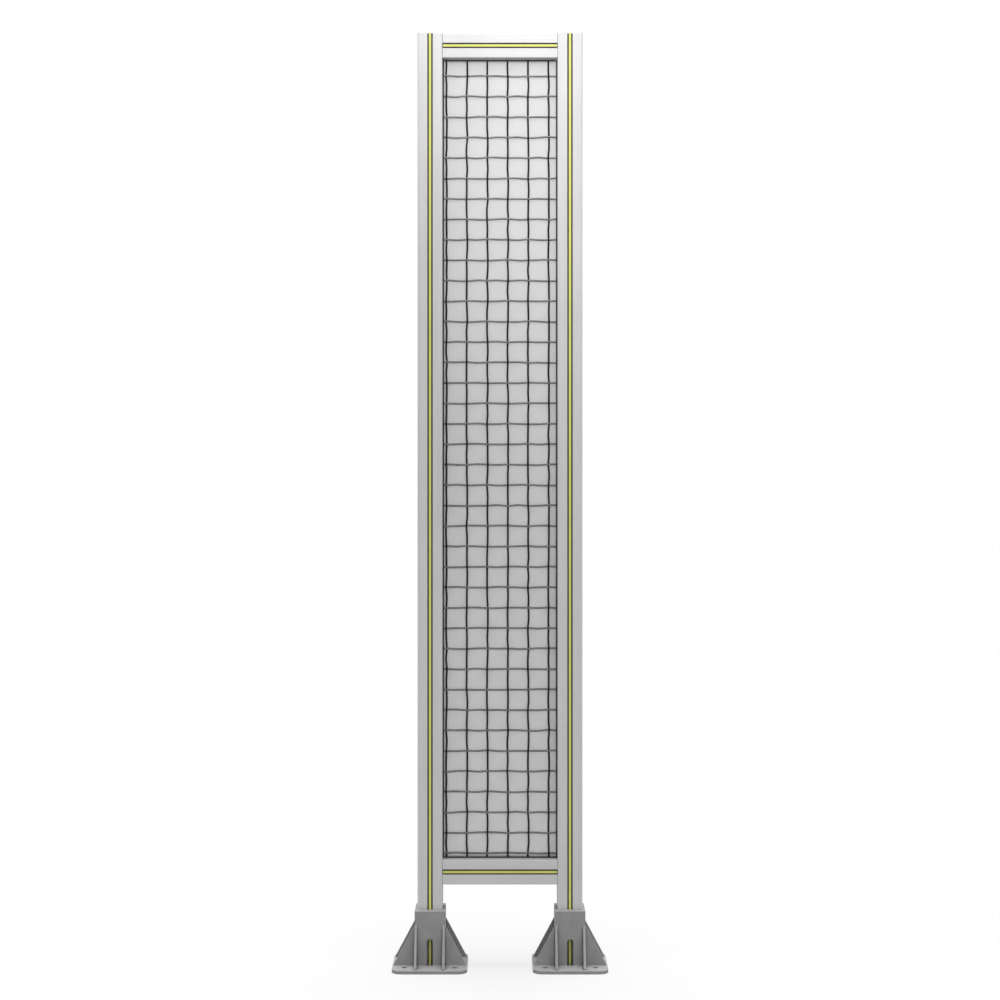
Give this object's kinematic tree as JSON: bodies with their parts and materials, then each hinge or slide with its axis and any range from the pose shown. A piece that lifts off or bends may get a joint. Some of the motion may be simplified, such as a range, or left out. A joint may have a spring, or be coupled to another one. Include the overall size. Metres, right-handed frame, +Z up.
{
  "type": "machine guard fence panel",
  "caption": "Narrow machine guard panel: T-slot aluminium frame with yellow groove strips, crimped wire mesh over a thin grey sheet, and ribbed cast feet.",
  "frame": {"origin": "centre of the left foot's underside, on the floor", "axes": "+Z up along the posts, front towards -Y, +X along the panel towards the right foot"},
  "size_m": [0.3445, 0.12, 1.5],
  "materials": {
    "profile": "natural anodised, satin, fine lines along the extrusion",
    "cover_strip": "pale yellow extruded plastic, satin",
    "wire": "galvanised crimped wire",
    "sheet": "translucent grey, satin",
    "gasket": "black extruded rubber",
    "foot_casting": "die-cast, fine blasted grey",
    "screw": "zinc plated",
    "slot_nut": "zinc plated"
  },
  "bodies": {
    "root": {"left_post": "profile", "right_post": "profile", "top_rail": "profile", "bottom_rail": "profile", "left_post_front_strip": "cover_strip", "right_post_front_strip": "cover_strip", "left_post_back_strip": "cover_strip", "right_post_back_strip": "cover_strip", "left_post_outer_strip": "cover_strip", "right_post_outer_strip": "cover_strip", "left_post_lower_strip": "cover_strip", "right_post_lower_strip": "cover_strip", "top_rail_front_strip": "cover_strip", "top_rail_back_strip": "cover_strip", "top_rail_upper_strip": "cover_strip", "bottom_rail_front_strip": "cover_strip", "bottom_rail_back_strip": "cover_strip", "bottom_rail_under_strip": "cover_strip", "wire_mesh": "wire", "infill_sheet": "sheet", "left_gasket": "gasket", "right_gasket": "gasket", "top_gasket": "gasket", "bottom_gasket": "gasket", "left_foot": "foot_casting", "right_foot": "foot_casting", "left_foot_outer_screw": "screw", "left_foot_inner_screw": "screw", "right_foot_outer_screw": "screw", "right_foot_inner_screw": "screw", "left_foot_outer_nut": "slot_nut", "left_foot_inner_nut": "slot_nut", "right_foot_outer_nut": "slot_nut", "right_foot_inner_nut": "slot_nut", "top_rail_left_screw": "screw", "top_rail_right_screw": "screw", "bottom_rail_left_screw": "screw", "bottom_rail_right_screw": "screw"}
  },
  "joints": []
}
